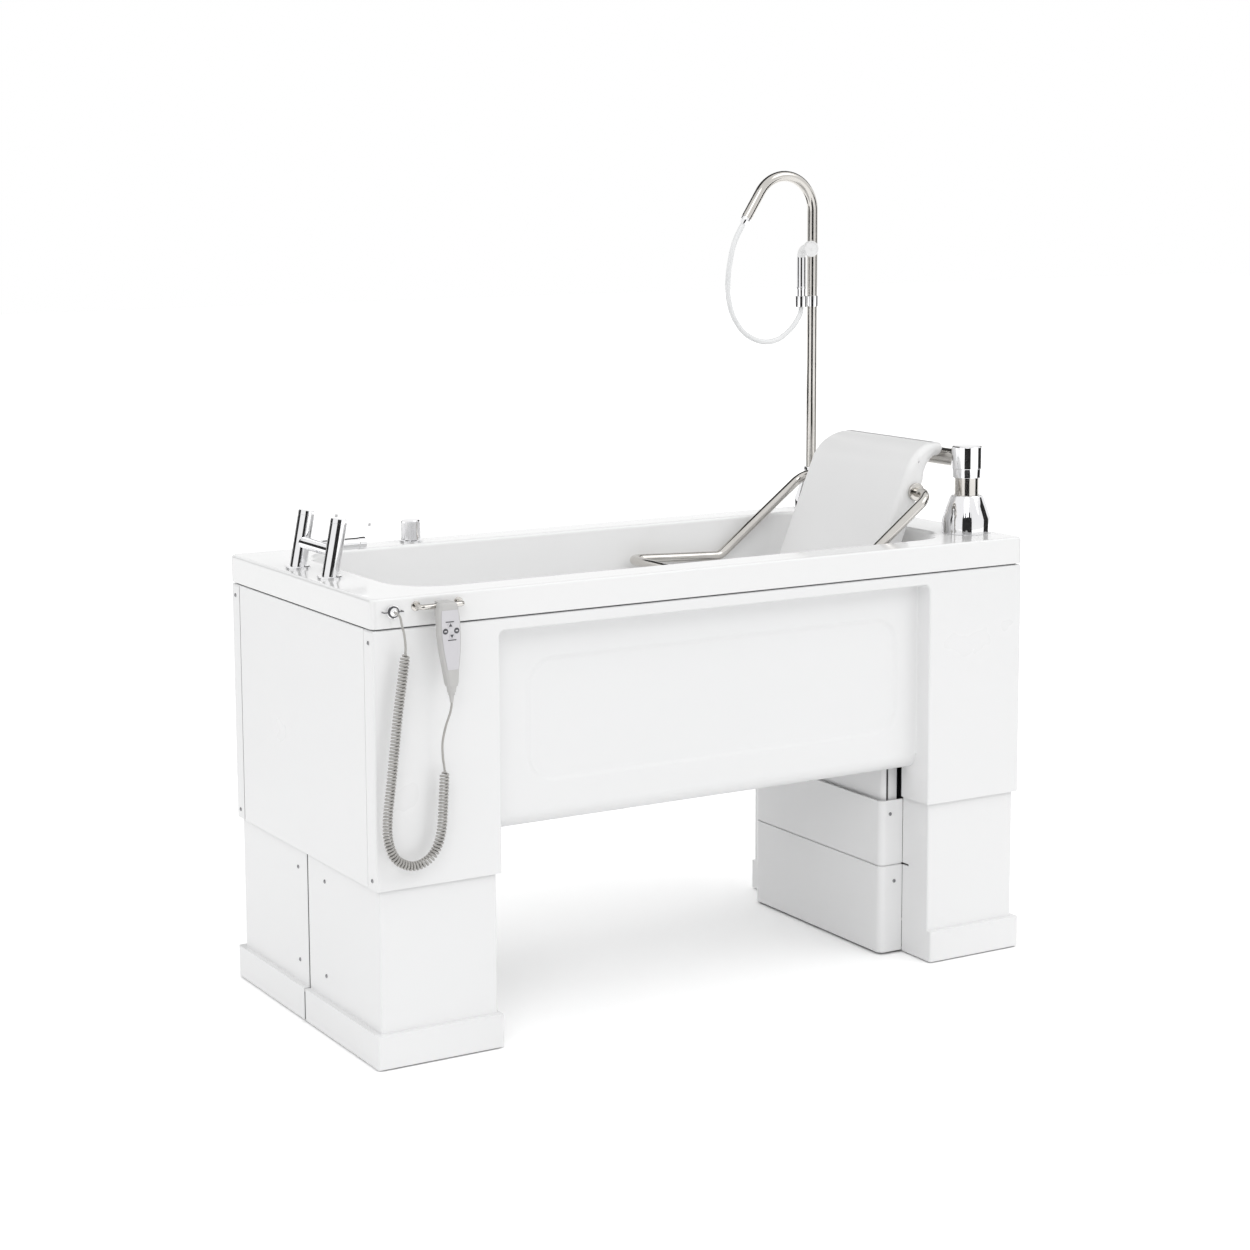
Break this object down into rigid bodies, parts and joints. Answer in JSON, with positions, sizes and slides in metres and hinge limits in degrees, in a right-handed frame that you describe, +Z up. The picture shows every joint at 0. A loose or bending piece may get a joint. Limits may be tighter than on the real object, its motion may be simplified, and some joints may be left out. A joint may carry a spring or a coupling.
{
  "type": "height-adjustable assisted bath",
  "caption": "Height-adjustable care bath on two pedestals, with a lifting seat and its safety bar, a gooseneck shower with a hand shower, a lever mixer and a wired hand control.",
  "frame": {"origin": "middle of the footprint, on the floor", "axes": "+X along the bath toward the seat end, +Y across it away from the hand control's side, +Z up"},
  "size_m": [1.804, 0.8618, 1.9709],
  "materials": {
    "acrylic": "polished moulded acrylic",
    "cover_white": "smooth moulded covers",
    "frame_steel": "powder coated",
    "foot_rubber": "matt",
    "box_grey": "textured housing",
    "stainless": "polished stainless tube",
    "chrome": "bright chrome",
    "braid": "braided hose",
    "pipe_grey": "plain pipe",
    "hose_white": "soft white hose",
    "handset_white": "smooth",
    "clip_dark": "dark wire",
    "cord_grey": "satin cable sheath",
    "seat_white": "smooth moulding",
    "hand_grey": "fine texture",
    "keypad": "smooth foil",
    "key_grey": "satin"
  },
  "bodies": {
    "base": {"tap_base": "frame_steel", "seat_base": "frame_steel", "levelling_feet": "foot_rubber", "tap_cover_near": "cover_white", "tap_cover_far": "cover_white", "seat_cover_near": "cover_white", "seat_cover_far": "cover_white", "tap_inner_wall": "cover_white", "step_lower": "cover_white", "step_upper": "cover_white", "control_box": "box_grey", "cover_screws": "stainless"},
    "bath": {"tub": "acrylic", "near_moulding": "cover_white", "far_moulding": "cover_white", "tap_end_panel": "cover_white", "seat_end_panel": "cover_white", "tap_slide_panel": "cover_white", "seat_slide_panel": "cover_white", "panel_screws": "stainless", "chassis": "frame_steel", "mixer_body": "chrome", "supply_hoses": "braid", "overflow_cover": "chrome", "waste_fitting": "chrome", "waste_pipe": "pipe_grey", "knob_flange": "chrome", "shower_pole": "stainless", "pole_base": "chrome", "shower_outlet": "chrome", "handset_holder": "chrome", "shower_hose": "hose_white", "hook_rail": "stainless", "cord_outlet": "chrome", "outlet_clip": "clip_dark", "curly_cord": "cord_grey", "column_base": "chrome"},
    "seat": {"lift_tube": "stainless", "column_head": "chrome", "backrest": "seat_white", "seat_pan": "seat_white", "seat_frame": "stainless", "seat_arm": "stainless"},
    "safety_bar": {"safety_bar": "stainless"},
    "hot_lever": {"hot_lever": "chrome"},
    "cold_lever": {"cold_lever": "chrome"},
    "waste_knob": {"waste_knob": "chrome"},
    "waste_plug": {"waste_plug": "chrome"},
    "shower_handset": {"handset_handle": "chrome", "handset_head": "handset_white"},
    "hand_control": {"hand_housing": "hand_grey", "hand_keypad": "keypad", "hand_collar": "hand_grey"},
    "key_up": {"key_up": "key_grey"},
    "key_down": {"key_down": "key_grey"},
    "key_left": {"key_left": "key_grey"},
    "key_right": {"key_right": "key_grey"}
  },
  "joints": [
    {"name": "bath_lift", "type": "slide", "parent": "base", "child": "bath", "axis": [0, 0, 1], "range_m": [-0.26, 0.04]},
    {"name": "seat_lift", "type": "slide", "parent": "bath", "child": "seat", "axis": [0, 0, 1], "range_m": [0, 0.45]},
    {"name": "safety_bar_swing", "type": "hinge", "parent": "seat", "child": "safety_bar", "pos_m": [0.704, 0.0289, 1.167], "axis": [0, 1, 0], "range_deg": [0, 95]},
    {"name": "hot_lever_turn", "type": "hinge", "parent": "bath", "child": "hot_lever", "pos_m": [-0.848, -0.0411, 1.06], "axis": [0.1908, 0, 0.9816], "range_deg": [-90, 0]},
    {"name": "cold_lever_turn", "type": "hinge", "parent": "bath", "child": "cold_lever", "pos_m": [-0.848, 0.1389, 1.06], "axis": [0.1908, 0, 0.9816], "range_deg": [0, 90]},
    {"name": "waste_knob_turn", "type": "hinge", "parent": "bath", "child": "waste_knob", "pos_m": [-0.434, 0.3829, 1.066], "axis": [0, 0, 1], "range_deg": [0, 90]},
    {"name": "waste_plug_lift", "type": "slide", "parent": "bath", "child": "waste_plug", "axis": [0, 0, 1], "range_m": [0, 0.012]},
    {"name": "handset_pull", "type": "slide", "parent": "bath", "child": "shower_handset", "axis": [0, 0, 1], "range_m": [0, 0.06]},
    {"name": "hand_control_lift", "type": "slide", "parent": "bath", "child": "hand_control", "axis": [0, 0, 1], "range_m": [0, 0.06]},
    {"name": "key_up_press", "type": "slide", "parent": "hand_control", "child": "key_up", "axis": [0, 1, 0], "range_m": [0, 0.0012], "stiffness_N_per_m": 1500},
    {"name": "key_down_press", "type": "slide", "parent": "hand_control", "child": "key_down", "axis": [0, 1, 0], "range_m": [0, 0.0012], "stiffness_N_per_m": 1500},
    {"name": "key_left_press", "type": "slide", "parent": "hand_control", "child": "key_left", "axis": [0, 1, 0], "range_m": [0, 0.0012], "stiffness_N_per_m": 1500},
    {"name": "key_right_press", "type": "slide", "parent": "hand_control", "child": "key_right", "axis": [0, 1, 0], "range_m": [0, 0.0012], "stiffness_N_per_m": 1500}
  ],
  "couplings": [
    {"joint": "waste_plug_lift", "follows": "waste_knob_turn", "m_per_rad": 0.00763}
  ]
}
